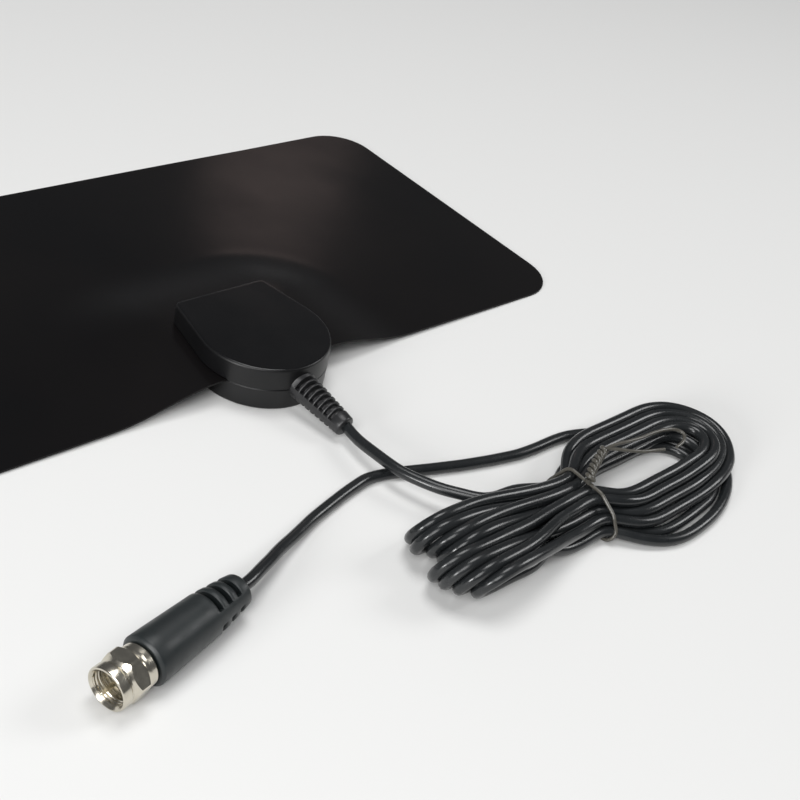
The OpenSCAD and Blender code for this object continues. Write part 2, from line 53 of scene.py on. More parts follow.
# Places that the frame gives
NUT_JOINT = next(j for j in frame["joints"] if j["name"] == "nut_turn")
PLUG_AXIS = Vector(NUT_JOINT["axis"]).normalized()
PLUG_TURN = -math.atan2(PLUG_AXIS.y, PLUG_AXIS.x)
PLUG_FRONT = Vector(NUT_JOINT["pos_m"])
PANEL_LOW, PANEL_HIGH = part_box("front_film")
HOUSING_LOW, HOUSING_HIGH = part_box("upper_shell")
PARTING_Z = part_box("lower_shell")[1].z
EDGE_Y = PANEL_LOW.y
PANEL_W = PANEL_HIGH.x - PANEL_LOW.x
PANEL_D = PANEL_HIGH.y - PANEL_LOW.y

# The lead: its jacket, its route outside the hank, and the hank
LEAD_D = 3.2 * MM
LEAD_ROUTE = [
    (0.0020, -0.0832, 0.0042), (0.0015, -0.0870, 0.0041), (0.0010, -0.0910, 0.0045),
    (0.0010, -0.0960, 0.0050), (0.0010, -0.1010, 0.0055), (0.0015, -0.1060, 0.0058),
    (0.0035, -0.1120, 0.0062), (0.0060, -0.1175, 0.0066), (0.0095, -0.1225, 0.0071),
    (0.0130, -0.1270, 0.0075)]
TAIL_ROUTE = [
    (0.0730, -0.1195, 0.0022), (0.0670, -0.1165, 0.0017), (0.0610, -0.1145, 0.0016),
    (0.0550, -0.1140, 0.0016), (0.0480, -0.1140, 0.0016), (0.0410, -0.1135, 0.0016),
    (0.0320, -0.1115, 0.0016), (0.0230, -0.1090, 0.0016), (0.0140, -0.1060, 0.0016),
    (0.0070, -0.1035, 0.0016), (0.0010, -0.1015, 0.0016), (-0.0050, -0.1005, 0.0016),
    (-0.0130, -0.1020, 0.0016), (-0.0210, -0.1040, 0.0016), (-0.0280, -0.1060, 0.0018),
    (-0.0330, -0.1080, 0.0023), (-0.0380, -0.1100, 0.0030), (-0.0430, -0.1120, 0.0039),
    (-0.0480, -0.1145, 0.0049), (-0.0525, -0.1165, 0.0057), (-0.0570, -0.1185, 0.0062),
    (-0.0612, -0.1195, 0.0063)]
LINE_STEP = 1.5 * MM             # from point to point along the lead
WAIST = (0.039, -0.139)          # where the tie draws the turns together
WAIST_HALF = 2 * MM              # length of the straight strands on each side of the tie
SLOT_STEP = 3.25 * MM            # from strand to strand across the waist
SLOT_ROW = 2.84 * MM             # from row to row, upwards
SLOT_BASE = 2.75 * MM            # the lowest strands lie on the tie's wire
FAR_RUN, FAR_SHARE = 9 * MM, 0.6      # length in which a far strand spreads, and more for each metre it goes
NEAR_RUN, NEAR_SHARE = 6 * MM, 0.5    # the same for a near strand
NEAR_BELLY_X = 0.061             # the open end's near side swells most here
TIGHTEST_BEND = 6.7 * MM         # the tips of wide rings are drawn no tighter than this radius
FAR_STRETCH = 1.2                # length of the far side's curve, in its radius
FOLD_Y = -0.1383                 # middle of the folded left end
FOLD_STEP = 3.2 * MM             # from fold to fold
FOLD_R = 6.2 * MM
FOLD_LEAN = math.radians(25)     # the folds lean over by this angle
FOLD_LIFT = 0.2 * MM             # of the lower strands over the table
FOLD_TIP_X = [-0.0148, -0.0160, -0.0132, -0.0126, -0.0187, -0.0180, -0.0162, -0.0130]

# Strands at the waist: rows B, M and T from the table up, and their place across it in steps
SLOTS = {f"B{k}": (3 - k, 0) for k in range(7)}
SLOTS.update({f"M{k}": (2.5 - k, 1) for k in range(6)})
SLOTS.update({f"T{k}": (2 - k, 2) for k in range(4)})
# One row for each turn of the hank: the strand that runs to the open end, the turn's near side there
# (y, z), its far side (y, z), the x that it reaches, the strand back, its fold at the left, and if that
# fold goes down
TURNS = [
    ("M0", (-0.1541, 0.0042), (-0.1218, 0.0080), 0.1022, "M5", 7, True),
    ("B5", (-0.1569, 0.0017), (-0.1230, 0.0017), 0.0945, "B0", 0, False),
    ("T0", (-0.1512, 0.0057), (-0.1248, 0.0078), 0.0988, "M4", 5, True),
    ("M3", (-0.1456, 0.0045), (-0.1310, 0.0044), 0.0905, "M2", 3, True),
    ("B3", (-0.1476, 0.0017), (-0.1298, 0.0017), 0.0875, "B2", 2, False),
    ("T1", (-0.1452, 0.0077), (-0.1310, 0.0078), 0.0920, "T2", 4, True),
    ("B4", (-0.1510, 0.0017), (-0.1264, 0.0017), 0.0910, "B1", 1, False),
    ("M1", (-0.1483, 0.0071), (-0.1279, 0.0076), 0.0955, "T3", 6, True),
    ("B6", (-0.1612, 0.0017), (-0.1195, 0.0021), 0.0970, None, None, None)]


def ease(t):
    """A share from 0 to 1 that starts and ends slowly."""
    return t * t * (3 - 2 * t)


def slot_place(name):
    """(y, z) of a strand under the tie."""
    across, row = SLOTS[name]
    return WAIST[1] + across * SLOT_STEP, SLOT_BASE + row * SLOT_ROW


def leg(x0, place0, x1, place1, count):
    """Points of a strand that runs from x0 to x1 and drifts from one (y, z) to the other."""
    points = []
    for k in range(count):
        t = k / (count - 1)
        y, z = (place0[i] + (place1[i] - place0[i]) * ease(t) for i in (0, 1))
        points.append((x0 + (x1 - x0) * t, y, z))
    return points


def fold_side(fold, top):
    """(y, z) of a fold's upper or lower strand."""
    middle = FOLD_Y + (3.5 - fold) * FOLD_STEP
    z_low = LEAD_D / 2 + FOLD_LIFT
    if top:
        return middle - FOLD_R * math.sin(FOLD_LEAN), z_low + 2 * FOLD_R * math.cos(FOLD_LEAN)
    return middle + FOLD_R * math.sin(FOLD_LEAN), z_low


def fold_points(fold, down):
    """The half turn at the left end, from one of its strands round to the other."""
    top, low = fold_side(fold, True), fold_side(fold, False)
    centre_x = FOLD_TIP_X[fold] + FOLD_R + LEAD_D / 2
    points = []
    for k in range(13):
        angle = math.pi * k / 12
        share = (1 + math.cos(angle)) / 2
        y, z = (low[i] + (top[i] - low[i]) * share for i in (0, 1))
        points.append((centre_x - FOLD_R * math.sin(angle), y, z))
    return points if down else points[::-1]


def eye_turn(slot_in, near, far, reach, slot_out):
    """From the waist round the open right end and back to the waist, or out to the tail."""
    inward_far = slot_out is not None and slot_place(slot_in)[0] > slot_place(slot_out)[0]
    first, last = (far, near) if inward_far else (near, far)
    radius = abs(far[0] - near[0]) / 2
    points = flared(first, slot_in)
    for k in range(31):
        angle = math.pi * k / 30
        share = (1 - math.cos(angle)) / 2
        y, z = (first[i] + (last[i] - first[i]) * share for i in (0, 1))
        on_far = (share < 0.5) == inward_far
        long = radius * FAR_STRETCH if on_far else reach - NEAR_BELLY_X
        long = max(radius, min(long, radius ** 2 / TIGHTEST_BEND))
        points.append((reach - long * (1 - math.sin(angle)), y, z))
    if slot_out is None:
        return points[:-3]
    return points + flared(last, slot_out)[::-1]


def flared(place, slot):
    """Points of a strand that spreads from the waist to its place in the open end, fast at first."""
    start = slot_place(slot)
    spread = place[0] - WAIST[1]
    run = NEAR_RUN - spread * NEAR_SHARE if spread < 0 else FAR_RUN + spread * FAR_SHARE
    points = []
    for k in range(9):
        t = k / 8
        y, z = (start[i] + (place[i] - start[i]) * (1 - (1 - t) ** 2) for i in (0, 1))
        points.append((WAIST[0] + WAIST_HALF + run * t, y, z))
    return points


def evened(points, step):
    """The same line with its points the same distance apart."""
    line = np.array(points, float)
    along = np.concatenate([[0], np.cumsum(np.linalg.norm(np.diff(line, axis=0), axis=1))])
    count = int(round(along[-1] / step)) + 1
    at = np.linspace(0, along[-1], count)
    return np.stack([np.interp(at, along, line[:, k]) for k in range(3)], axis=1)


def smoothed(line, passes):
    """Rounds a line's corners without drawing it shorter at its ends."""
    line = line.copy()
    for _ in range(passes):
        for weight in (0.5, -0.52):
            mean = (line[:-2] + line[2:]) / 2
            line[1:-1] += weight * (mean - line[1:-1])
    return line


SETTLE_ROUNDS = 140
LOOK_AGAIN = 7                   # the strands that lie close are found again after so many rounds
PUSH_SHARE = 0.9                 # how far strands that overlap move apart in a round
STIFFNESS = 0.06
HOLD = 0.004                     # pull of each point towards where it was drawn


def settled(line, held):
    """Lets strands that lie in each other push apart, keeps the jacket stiff and over the table."""
    count = len(line)
    step = float(np.linalg.norm(np.diff(line, axis=0), axis=1).mean())
    near_along = int(2.2 * LEAD_D / step)
    rest = line.copy()
    free = ~held
    first = second = None
    for turn in range(SETTLE_ROUNDS):
        if turn % LOOK_AGAIN == 0:
            square = (line ** 2).sum(1)
            gap = square[:, None] + square[None, :] - 2 * line @ line.T
            first, second = np.nonzero(np.triu(gap < (1.5 * LEAD_D) ** 2, near_along))
        apart = line[first] - line[second]
        far = np.maximum(np.linalg.norm(apart, axis=1), 1e-6)
        close = far < LEAD_D
        push = apart[close] / far[close, None] * ((LEAD_D - far[close]) * 0.5)[:, None]
        move = np.zeros_like(line)
        hits = np.zeros(count)
        np.add.at(move, first[close], push)
        np.add.at(move, second[close], -push)
        np.add.at(hits, first[close], 1)
        np.add.at(hits, second[close], 1)
        move /= np.maximum(hits, 1)[:, None]
        line[free] += move[free] * PUSH_SHARE
        line[free, 2] = np.maximum(line[free, 2], LEAD_D / 2)
        bend = np.zeros_like(line)
        bend[2:-2] = line[:-4] - 4 * line[1:-3] + 6 * line[2:-2] - 4 * line[3:-1] + line[4:]
        line[free] -= STIFFNESS * bend[free]
        line[free] += HOLD * (rest[free] - line[free])
        for _ in range(2):
            span = np.diff(line, axis=0)
            long = np.linalg.norm(span, axis=1)
            fix = span * ((long - step) / long * 0.25)[:, None]
            shift = np.zeros_like(line)
            shift[:-1] += fix
            shift[1:] -= fix
            line[free] += shift[free]
    return line


def lead_line():
    """The whole lead, from the strain relief round the hank to the plug."""
    left_x = WAIST[0] - WAIST_HALF
    points = list(LEAD_ROUTE)
    points += leg(LEAD_ROUTE[-1][0] + 5 * MM, LEAD_ROUTE[-1][1:], left_x, slot_place("M0"), 5)[1:]
    for index, (slot_in, near, far, reach, slot_out, fold, down) in enumerate(TURNS):
        points += eye_turn(slot_in, near, far, reach, slot_out)
        if slot_out is None:
            break
        arc = fold_points(fold, down)
        following = slot_place(TURNS[index + 1][0])
        points += leg(left_x, slot_place(slot_out), arc[0][0] + 2 * MM, arc[0][1:], 8)
        points += arc
        points += leg(arc[-1][0] + 2 * MM, arc[-1][1:], left_x, following, 8)
    points += TAIL_ROUTE
    lead_l = np.linalg.norm(np.diff(np.array(LEAD_ROUTE), axis=0), axis=1).sum()
    tail_l = np.linalg.norm(np.diff(np.array(TAIL_ROUTE), axis=0), axis=1).sum()
    line = smoothed(evened(points, LINE_STEP), 6)
    held = np.zeros(len(line), bool)
    held[:int(lead_l / LINE_STEP) - 3] = True
    held[-int(tail_l / LINE_STEP) + 4:] = True
    return smoothed(settled(line, held), 3)


def tube_curve(name, line, diameter, material, resolution=4):
    """A curve of one open spline through the points, round and closed at its ends."""
    data = bpy.data.curves.new(name, "CURVE")
    data.dimensions = "3D"
    data.bevel_depth = diameter / 2
    data.bevel_resolution = resolution
    data.use_fill_caps = True
    spline = data.splines.new("POLY")
    spline.points.add(len(line) - 1)
    spline.points.foreach_set("co", np.concatenate([line, np.ones((len(line), 1))], axis=1).ravel())
    piece = bpy.data.objects.new(name, data)
    bpy.context.scene.collection.objects.link(piece)
    data.materials.append(material)
    return piece


def mesh_piece(name, vertices, faces, material):
    """A smooth shaded mesh with its doubled points joined and its normals outward."""
    mesh = bpy.data.meshes.new(name)
    mesh.from_pydata([tuple(v) for v in vertices], [], faces)
    mesh.update()
    shell = bmesh.new()
    shell.from_mesh(mesh)
    bmesh.ops.remove_doubles(shell, verts=shell.verts, dist=1e-7)
    bmesh.ops.recalc_face_normals(shell, faces=shell.faces)
    for face in shell.faces:
        face.smooth = True
    shell.to_mesh(mesh)
    shell.free()
    mesh.materials.append(material)
    piece = bpy.data.objects.new(name, mesh)
    bpy.context.scene.collection.objects.link(piece)
    return piece


# Finishes

def new_finish(name, colour, roughness, metallic=0.0, ior=1.5):
    """A material and its shader, with the values that are the same all over set on the shader."""
    material = bpy.data.materials.new(name)
    material.use_nodes = True
    shader = material.node_tree.nodes["Principled BSDF"]
    shader.inputs["Base Color"].default_value = (*colour, 1)
    shader.inputs["Roughness"].default_value = roughness
    shader.inputs["Metallic"].default_value = metallic
    shader.inputs["IOR"].default_value = ior
    return material, shader


def grain(material, scale, detail=3.0, stretch=(1, 1, 1), turn=0.0):
    """Noise over the piece's own coordinates, with a scale in marks for each metre."""
    nodes, links = material.node_tree.nodes, material.node_tree.links
    place = nodes.new("ShaderNodeTexCoord")
    mapping = nodes.new("ShaderNodeMapping")
    mapping.inputs["Scale"].default_value = stretch
    mapping.inputs["Rotation"].default_value = (0, 0, turn)
    noise = nodes.new("ShaderNodeTexNoise")
    noise.inputs["Scale"].default_value = scale
    noise.inputs["Detail"].default_value = detail
    links.new(place.outputs["Object"], mapping.inputs["Vector"])
    links.new(mapping.outputs["Vector"], noise.inputs["Vector"])
    return noise.outputs["Fac"]


def spread(material, source, low, high, from_low=0.3, from_high=0.7):
    """Spreads the source's values between low and high."""
    nodes, links = material.node_tree.nodes, material.node_tree.links
    ramp = nodes.new("ShaderNodeMapRange")
    ramp.inputs["From Min"].default_value = from_low
    ramp.inputs["From Max"].default_value = from_high
    ramp.inputs["To Min"].default_value = low
    ramp.inputs["To Max"].default_value = high
    links.new(source, ramp.inputs["Value"])
    return ramp.outputs["Result"]


def vary_roughness(material, shader, source, low, high):
    """Roughness that wanders between low and high."""
    material.node_tree.links.new(spread(material, source, low, high), shader.inputs["Roughness"])


def vary_colour(material, shader, source, first, second):
    """Colour that wanders between the first and the second."""
    nodes, links = material.node_tree.nodes, material.node_tree.links
    mix = nodes.new("ShaderNodeMix")
    mix.data_type = "RGBA"
    mix.inputs[6].default_value = (*first, 1)
    mix.inputs[7].default_value = (*second, 1)
    links.new(spread(material, source, 0.0, 1.0), mix.inputs[0])
    links.new(mix.outputs[2], shader.inputs["Base Color"])


def add_bump(material, shader, source, height, strength=1.0):
    """Bump of the given height in metres, on top of any bump that is there."""
    nodes, links = material.node_tree.nodes, material.node_tree.links
    bump = nodes.new("ShaderNodeBump")
    bump.inputs["Strength"].default_value = strength
    bump.inputs["Distance"].default_value = height
    links.new(source, bump.inputs["Height"])
    if shader.inputs["Normal"].links:
        links.new(shader.inputs["Normal"].links[0].from_socket, bump.inputs["Normal"])
    links.new(bump.outputs["Normal"], shader.inputs["Normal"])


def black_film():
    """Panel's film: near black, satin, with long faint waves and a fine grain."""
    material, shader = new_finish("black_film", (0.004, 0.004, 0.0045), 0.2, ior=1.3)
    vary_roughness(material, shader, grain(material, 22, 4), 0.17, 0.25)
    vary_colour(material, shader, grain(material, 9, 3), (0.0035, 0.0035, 0.004), (0.0065, 0.0055, 0.0055))
    add_bump(material, shader, grain(material, 120, 2), 0.00004, 0.35)
    add_bump(material, shader, grain(material, 2600, 2), 0.000004, 0.4)
    return material


def moulded_plastic():
    """Housing: polished on its flat faces, and satin with a fine spark grain on its sides."""
    material, shader = new_finish("moulded_plastic", (0.005, 0.005, 0.0055), 0.3, ior=1.42)
    nodes, links = material.node_tree.nodes, material.node_tree.links
    facing = nodes.new("ShaderNodeNewGeometry")
    split = nodes.new("ShaderNodeSeparateXYZ")
    links.new(facing.outputs["Normal"], split.inputs["Vector"])
    side = spread(material, split.outputs["Z"], 1.0, 0.0, 0.75, 0.98)
    rough = nodes.new("ShaderNodeMath")
    rough.operation = "MULTIPLY_ADD"
    links.new(side, rough.inputs[0])
    rough.inputs[1].default_value = 0.22
    links.new(spread(material, grain(material, 90, 4), 0.11, 0.17), rough.inputs[2])
    links.new(rough.outputs["Value"], shader.inputs["Roughness"])
    vary_colour(material, shader, grain(material, 40, 3), (0.004, 0.004, 0.0045), (0.0065, 0.0065, 0.007))
    add_bump(material, shader, grain(material, 5200, 2), 0.000012, 0.5)
    return material


def relief_rubber():
    """Strain relief: black satin rubber with a fine moulded grain."""
    material, shader = new_finish("relief_rubber", (0.013, 0.013, 0.014), 0.36, ior=1.5)
    vary_roughness(material, shader, grain(material, 700, 4), 0.3, 0.45)
    vary_colour(material, shader, grain(material, 300, 3), (0.011, 0.011, 0.012), (0.017, 0.017, 0.018))
    add_bump(material, shader, grain(material, 4200, 3), 0.00002, 0.5)
    return material


def lead_vinyl():
    """Jacket of the lead: smooth black vinyl with a faint drawn surface."""
    material, shader = new_finish("lead_vinyl", (0.012, 0.0135, 0.0145), 0.24, ior=1.5)
    vary_roughness(material, shader, grain(material, 160, 4), 0.19, 0.31)
    vary_colour(material, shader, grain(material, 60, 3), (0.010, 0.0115, 0.0125), (0.017, 0.0185, 0.0195))
    add_bump(material, shader, grain(material, 420, 2), 0.00003, 0.25)
    add_bump(material, shader, grain(material, 3600, 3), 0.000004, 0.4)
    return material


def boot_rubber():
    """Plug's boot: soft satin vinyl, dark slate, with a fine moulded grain."""
    material, shader = new_finish("boot_rubber", (0.013, 0.0165, 0.0175), 0.42, ior=1.5)
    vary_roughness(material, shader, grain(material, 420, 4), 0.36, 0.5)
    vary_colour(material, shader, grain(material, 110, 4), (0.011, 0.0145, 0.0155), (0.017, 0.021, 0.022))
    add_bump(material, shader, grain(material, 5200, 3), 0.00002, 0.6)
    return material


def nickel(name="nickel_plate", colour=(0.66, 0.62, 0.53), low=0.15, high=0.27):
    """Plated brass: fine turning marks round the plug's axis, a few faint stains and softly worn shine."""
    material, shader = new_finish(name, colour, low, metallic=1.0)
    marks = grain(material, 9000, 2, (1, 0.01, 0.01), PLUG_TURN)
    vary_roughness(material, shader, grain(material, 600, 4), low, high)
    vary_colour(material, shader, grain(material, 300, 4), colour, tuple(c * 0.86 for c in colour))
    add_bump(material, shader, marks, 0.000002, 0.5)
    return material


def plain_finish(name, colour, roughness, metallic=0.0, marks=900):
    """Finish of a small inner piece: its colour a little uneven, its surface faintly grained."""
    material, shader = new_finish(name, colour, roughness, metallic)
    vary_roughness(material, shader, grain(material, marks, 3), roughness * 0.85, min(1, roughness * 1.2))
    vary_colour(material, shader, grain(material, marks / 2, 3), colour, tuple(c * 0.82 for c in colour))
    add_bump(material, shader, grain(material, marks * 4, 2), 0.00001, 0.5)
    return material


FINISH = {
    "film": black_film(), "plastic": moulded_plastic(), "relief": relief_rubber(),
    "vinyl": lead_vinyl(), "boot": boot_rubber(), "nickel": nickel(),
    "sleeve": nickel("sleeve_plate", (0.62, 0.58, 0.48), 0.2, 0.34),
    "pin": nickel("pin_plate", (0.88, 0.82, 0.68), 0.12, 0.2),
    "tie": plain_finish("tie_coating", (0.085, 0.08, 0.068), 0.22, marks=1500),
    "foil": plain_finish("foil_aluminium", (0.78, 0.78, 0.79), 0.3, 1.0, 300),
    "board": plain_finish("board_lacquer", (0.02, 0.12, 0.05), 0.35, marks=600),
    "ferrite": plain_finish("ferrite_grey", (0.05, 0.05, 0.055), 0.55),
    "enamel": plain_finish("enamelled_copper", (0.55, 0.22, 0.07), 0.25, 1.0),
    "chip": plain_finish("chip_ceramic", (0.36, 0.25, 0.14), 0.5),
    "tin": plain_finish("tinned_brass", (0.72, 0.70, 0.64), 0.3, 1.0),
    "insulator": plain_finish("foamed_insulator", (0.82, 0.80, 0.74), 0.5),
    "copper": plain_finish("bare_copper", (0.80, 0.42, 0.24), 0.28, 1.0),
}

# Inner pieces keep the part's own solids; each gets its finish
CARRIED = {
    "matching_board": "board", "balun_core": "ferrite", "balun_winding": "enamel", "chip_capacitors": "chip",
    "contact_rivet_left": "tin", "contact_rivet_right": "tin", "lead_jacket_end": "vinyl",
    "lead_insulator": "insulator", "inner_conductor": "copper", "braid_pigtail": "tin", "cable_crimp": "tin",
    "crimp_ferrule": "tin", "connector_sleeve": "sleeve", "connector_insulator": "insulator",
    "centre_pin": "pin"}
for node_name, finish_name in CARRIED.items():
    node = frame["nodes"][node_name]
    node.data.materials.clear()
    node.data.materials.append(FINISH[finish_name])


# Camera: where the photograph was taken from
CAMERA_PLACE = Vector((-0.2066, -0.2732, 0.2200))
HEADING, PITCH, ROLL = math.radians(50.19), math.radians(35.70), math.radians(14.36)
LENS_MM = 58.38


def add_camera():
    level_share = math.cos(PITCH)
    ahead = Vector((math.sin(HEADING) * level_share, math.cos(HEADING) * level_share, -math.sin(PITCH)))
    level = Vector((math.cos(HEADING), -math.sin(HEADING), 0))
    upward = level.cross(ahead)
    right = level * math.cos(ROLL) + upward * math.sin(ROLL)
    up = upward * math.cos(ROLL) - level * math.sin(ROLL)
    camera = bpy.data.objects.new("camera", bpy.data.cameras.new("camera"))
    camera.data.lens = LENS_MM
    camera.data.sensor_width = 36
    camera.data.clip_start = 0.01
    turn = Matrix((right, up, -ahead)).transposed()
    camera.matrix_world = Matrix.Translation(CAMERA_PLACE) @ turn.to_4x4()
    bpy.context.scene.collection.objects.link(camera)
    bpy.context.scene.camera = camera


def add_lamp(name, place, target, size, watts, colour=(1, 1, 1)):
    """A round soft lamp that faces its target."""
    lamp = bpy.data.objects.new(name, bpy.data.lights.new(name, "AREA"))
    lamp.data.shape = "DISK"
    lamp.data.size = size
    lamp.data.energy = watts
    lamp.data.color = colour
    back = (Vector(place) - Vector(target)).normalized()
    lamp.matrix_world = Matrix.Translation(place) @ back.to_track_quat("Z", "Y").to_matrix().to_4x4()
    bpy.context.scene.collection.objects.link(lamp)


def add_studio():
    """A pale table under soft lamps; the room itself stays dim, so that black gloss looks black."""
    world = bpy.data.worlds.new("studio")
    world.use_nodes = True
    world.node_tree.nodes["Background"].inputs["Color"].default_value = (0.95, 0.97, 1.0, 1)
    world.node_tree.nodes["Background"].inputs["Strength"].default_value = 0.12
    bpy.context.scene.world = world
    middle = (0.01, -0.07, 0.0)
    add_lamp("key", (-0.75, -0.55, 0.85), middle, 0.8, 8)
    add_lamp("top", (0.1, 0.1, 1.1), middle, 0.6, 5.2)
    add_lamp("side", (0.85, -0.45, 0.6), middle, 0.4, 3)
    add_lamp("left", (-0.95, -0.25, 0.28), (-0.09, -0.12, 0.006), 0.3, 5)
    add_lamp("sheen", (0.62, 0.66, 0.42), (0.07, 0.0, 0.0), 0.16, 0.045, (1.0, 0.76, 0.7))
    pale = new_finish("pale_floor", (0.78, 0.78, 0.77), 0.7)[0]
    floor = mesh_piece("floor", [(-4, -4, 0), (4, -4, 0), (4, 4, 0), (-4, 4, 0)], [(0, 1, 2, 3)], pale)


# Panel

FILM_T, FOIL_T = 0.2 * MM, 0.1 * MM
PANEL_T = 2 * FILM_T + FOIL_T
CORNER_R = 15 * MM
CLAMP_HALF, CLAMP_DEPTH = 19.5 * MM, 30.5 * MM
BEND_RUN, BEND_SHARE = 34 * MM, 0.75
FOIL_BORDER = 14 * MM
FOIL_CLEAR = 0.01 * MM            # between a foil's faces and the films
FEED_GAP, TAB_W, TAB_FROM = 6 * MM, 6 * MM, 1.6 * MM
SHEET_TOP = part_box("back_film")[1].z - FILM_T


def sheet_height(x, y):
    """Underside of the panel: flat in the housing's grip, then down to the table."""
    away = math.hypot(max(0, abs(x) - CLAMP_HALF), max(0, y - CLAMP_DEPTH))
    reach = PANEL_W / 2 - CLAMP_HALF
    bend = BEND_SHARE * (0.5 + 0.5 * math.cos(math.pi * min(1, away / BEND_RUN)))
    return SHEET_TOP * (bend + (1 - BEND_SHARE) * max(0, 1 - away / reach))


def film_grid():
    """Places of the sheet's columns and rows, close together where it bends and at its corners."""
    halves = 46
    columns = [PANEL_W / 2 * math.copysign(abs(k / halves) ** 0.9, k) for k in range(-halves, halves + 1)]
    corner = [CORNER_R * (1 - math.cos(math.pi / 2 * k / 10)) for k in range(11)]
    middle = [CORNER_R + (PANEL_D - 2 * CORNER_R) * k / 44 for k in range(1, 44)]
    rows = corner + middle + [PANEL_D - c for c in corner[::-1]]
    return columns, rows


def film_piece(name, low, high, node_name):
    """One film of the panel, from low to high over the sheet's underside."""
    columns, rows = film_grid()
    inner = PANEL_W / 2 - CORNER_R - 10 * MM
    vertices, faces = [], []
    for y in rows:
        inset = max(0, CORNER_R - y, y - PANEL_D + CORNER_R)
        half = PANEL_W / 2 - CORNER_R + math.sqrt(CORNER_R ** 2 - inset ** 2)
        for column in columns:
            x = column
            if abs(x) > inner:
                x = math.copysign(inner + (abs(x) - inner) * (half - inner) / (PANEL_W / 2 - inner), x)
            z = sheet_height(x, y)
            vertices += [(x, EDGE_Y + y, z + low), (x, EDGE_Y + y, z + high)]
    wide, deep = len(columns), len(rows)
    for r in range(deep - 1):
        for c in range(wide - 1):
            a, b = 2 * (r * wide + c), 2 * ((r + 1) * wide + c)
            faces += [(a + 1, a + 3, b + 3, b + 1), (a, b, b + 2, a + 2)]
    rim = list(range(wide)) + [r * wide + wide - 1 for r in range(1, deep)]
    rim += [(deep - 1) * wide + c for c in range(wide - 2, -1, -1)]
    rim += [r * wide for r in range(deep - 2, 0, -1)]
    for a, b in zip(rim, rim[1:] + rim[:1]):
        faces.append((2 * a, 2 * b, 2 * b + 1, 2 * a + 1))
    piece = mesh_piece(name, vertices, faces, FINISH["film"])
    sharpen(piece, 50)
    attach(piece, "antenna")
    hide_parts(node_name)
    return piece


def foil_piece(name, side, node_name):
    """One conductor field of the aluminium foil, with the tab that runs into the housing."""
    steps_x, steps_y = 60, 48
    left, right = FEED_GAP / 2, PANEL_W / 2 - FOIL_BORDER
    low, high = CLAMP_DEPTH, PANEL_D - FOIL_BORDER
    tab_end = left + TAB_W
    xs = [left, tab_end] + [tab_end + (right - tab_end) * k / steps_x for k in range(1, steps_x + 1)]
    ys = [TAB_FROM, low] + [low + (high - low) * k / steps_y for k in range(1, steps_y + 1)]
    vertices, faces = [], []
    for y in ys:
        for x in xs:
            z = sheet_height(x, y) + FILM_T
            for level in (FOIL_CLEAR, FOIL_T - FOIL_CLEAR):
                vertices.append((side * x, EDGE_Y + y, z + level))
    wide = len(xs)
    cells = [(r, c) for r in range(len(ys) - 1) for c in range(wide - 1) if r or c == 0]
    edges = {}
    for r, c in cells:
        a, b = r * wide + c, (r + 1) * wide + c
        corners = (a, a + 1, b + 1, b)
        faces += [tuple(2 * v + 1 for v in corners), tuple(2 * v for v in corners[::-1])]
        for edge in zip(corners, corners[1:] + corners[:1]):
            edges[edge] = True
    for a, b in edges:
        if (b, a) not in edges:
            faces.append((2 * a, 2 * b, 2 * b + 1, 2 * a + 1))
    piece = mesh_piece(name, vertices, faces, FINISH["foil"])
    sharpen(piece, 50)
    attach(piece, "antenna")
    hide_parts(node_name)
    return piece


def sharpen(piece, degrees):
    """Marks edges that bend more than this as sharp, so that flat faces stay flat."""
    piece.data.set_sharp_from_angle(angle=math.radians(degrees))


# Housing

HOUSE_W, HOUSE_H = HOUSING_HIGH.x - HOUSING_LOW.x, HOUSING_HIGH.z
NOSE_L = EDGE_Y - HOUSING_LOW.y
GRIP_L = HOUSING_HIGH.y - EDGE_Y
WIDE_AT = 8 * MM
BACK_HALF, BACK_R = 16 * MM, 2 * MM
WALL = 1.8 * MM
FACE_T = 1.6 * MM
EDGE_R = 0.8 * MM
SEAM = 0.25 * MM
DRAFT = 0.15 * MM                 # the walls lean in by this much
FLAT_BAND = 0.4 * MM              # flat ring inside the rounded rim, which keeps the face's shading flat


def housing_outline(count=288):
    """So many points round the housing, seen from above, and their outward directions."""
    shapes = [((0, EDGE_Y + WIDE_AT), HOUSE_W / 2, NOSE_L + WIDE_AT)]
    shapes += [((s * (BACK_HALF - BACK_R), EDGE_Y + GRIP_L - BACK_R), BACK_R, BACK_R) for s in (-1, 1)]
    outline = []
    for k in range(1440):
        angle = TAU * k / 1440
        nx, ny = math.cos(angle), math.sin(angle)
        best = None
        for (cx, cy), a, b in shapes:
            reach = math.hypot(a * nx, b * ny)
            point = (cx + a * a * nx / reach, cy + b * b * ny / reach)
            if best is None or point[0] * nx + point[1] * ny > best[0]:
                best = (point[0] * nx + point[1] * ny, point)
        outline.append((*best[1], 0))
    line = evened(outline + outline[:1], 0.02 * MM)
    along = np.linspace(0, len(line) - 1, count + 1)[:-1].astype(int)
    ring = line[along][:, :2]
    ahead = np.roll(ring, -1, axis=0) - np.roll(ring, 1, axis=0)
    out = np.stack([ahead[:, 1], -ahead[:, 0]], axis=1)
    return ring, out / np.linalg.norm(out, axis=1)[:, None]


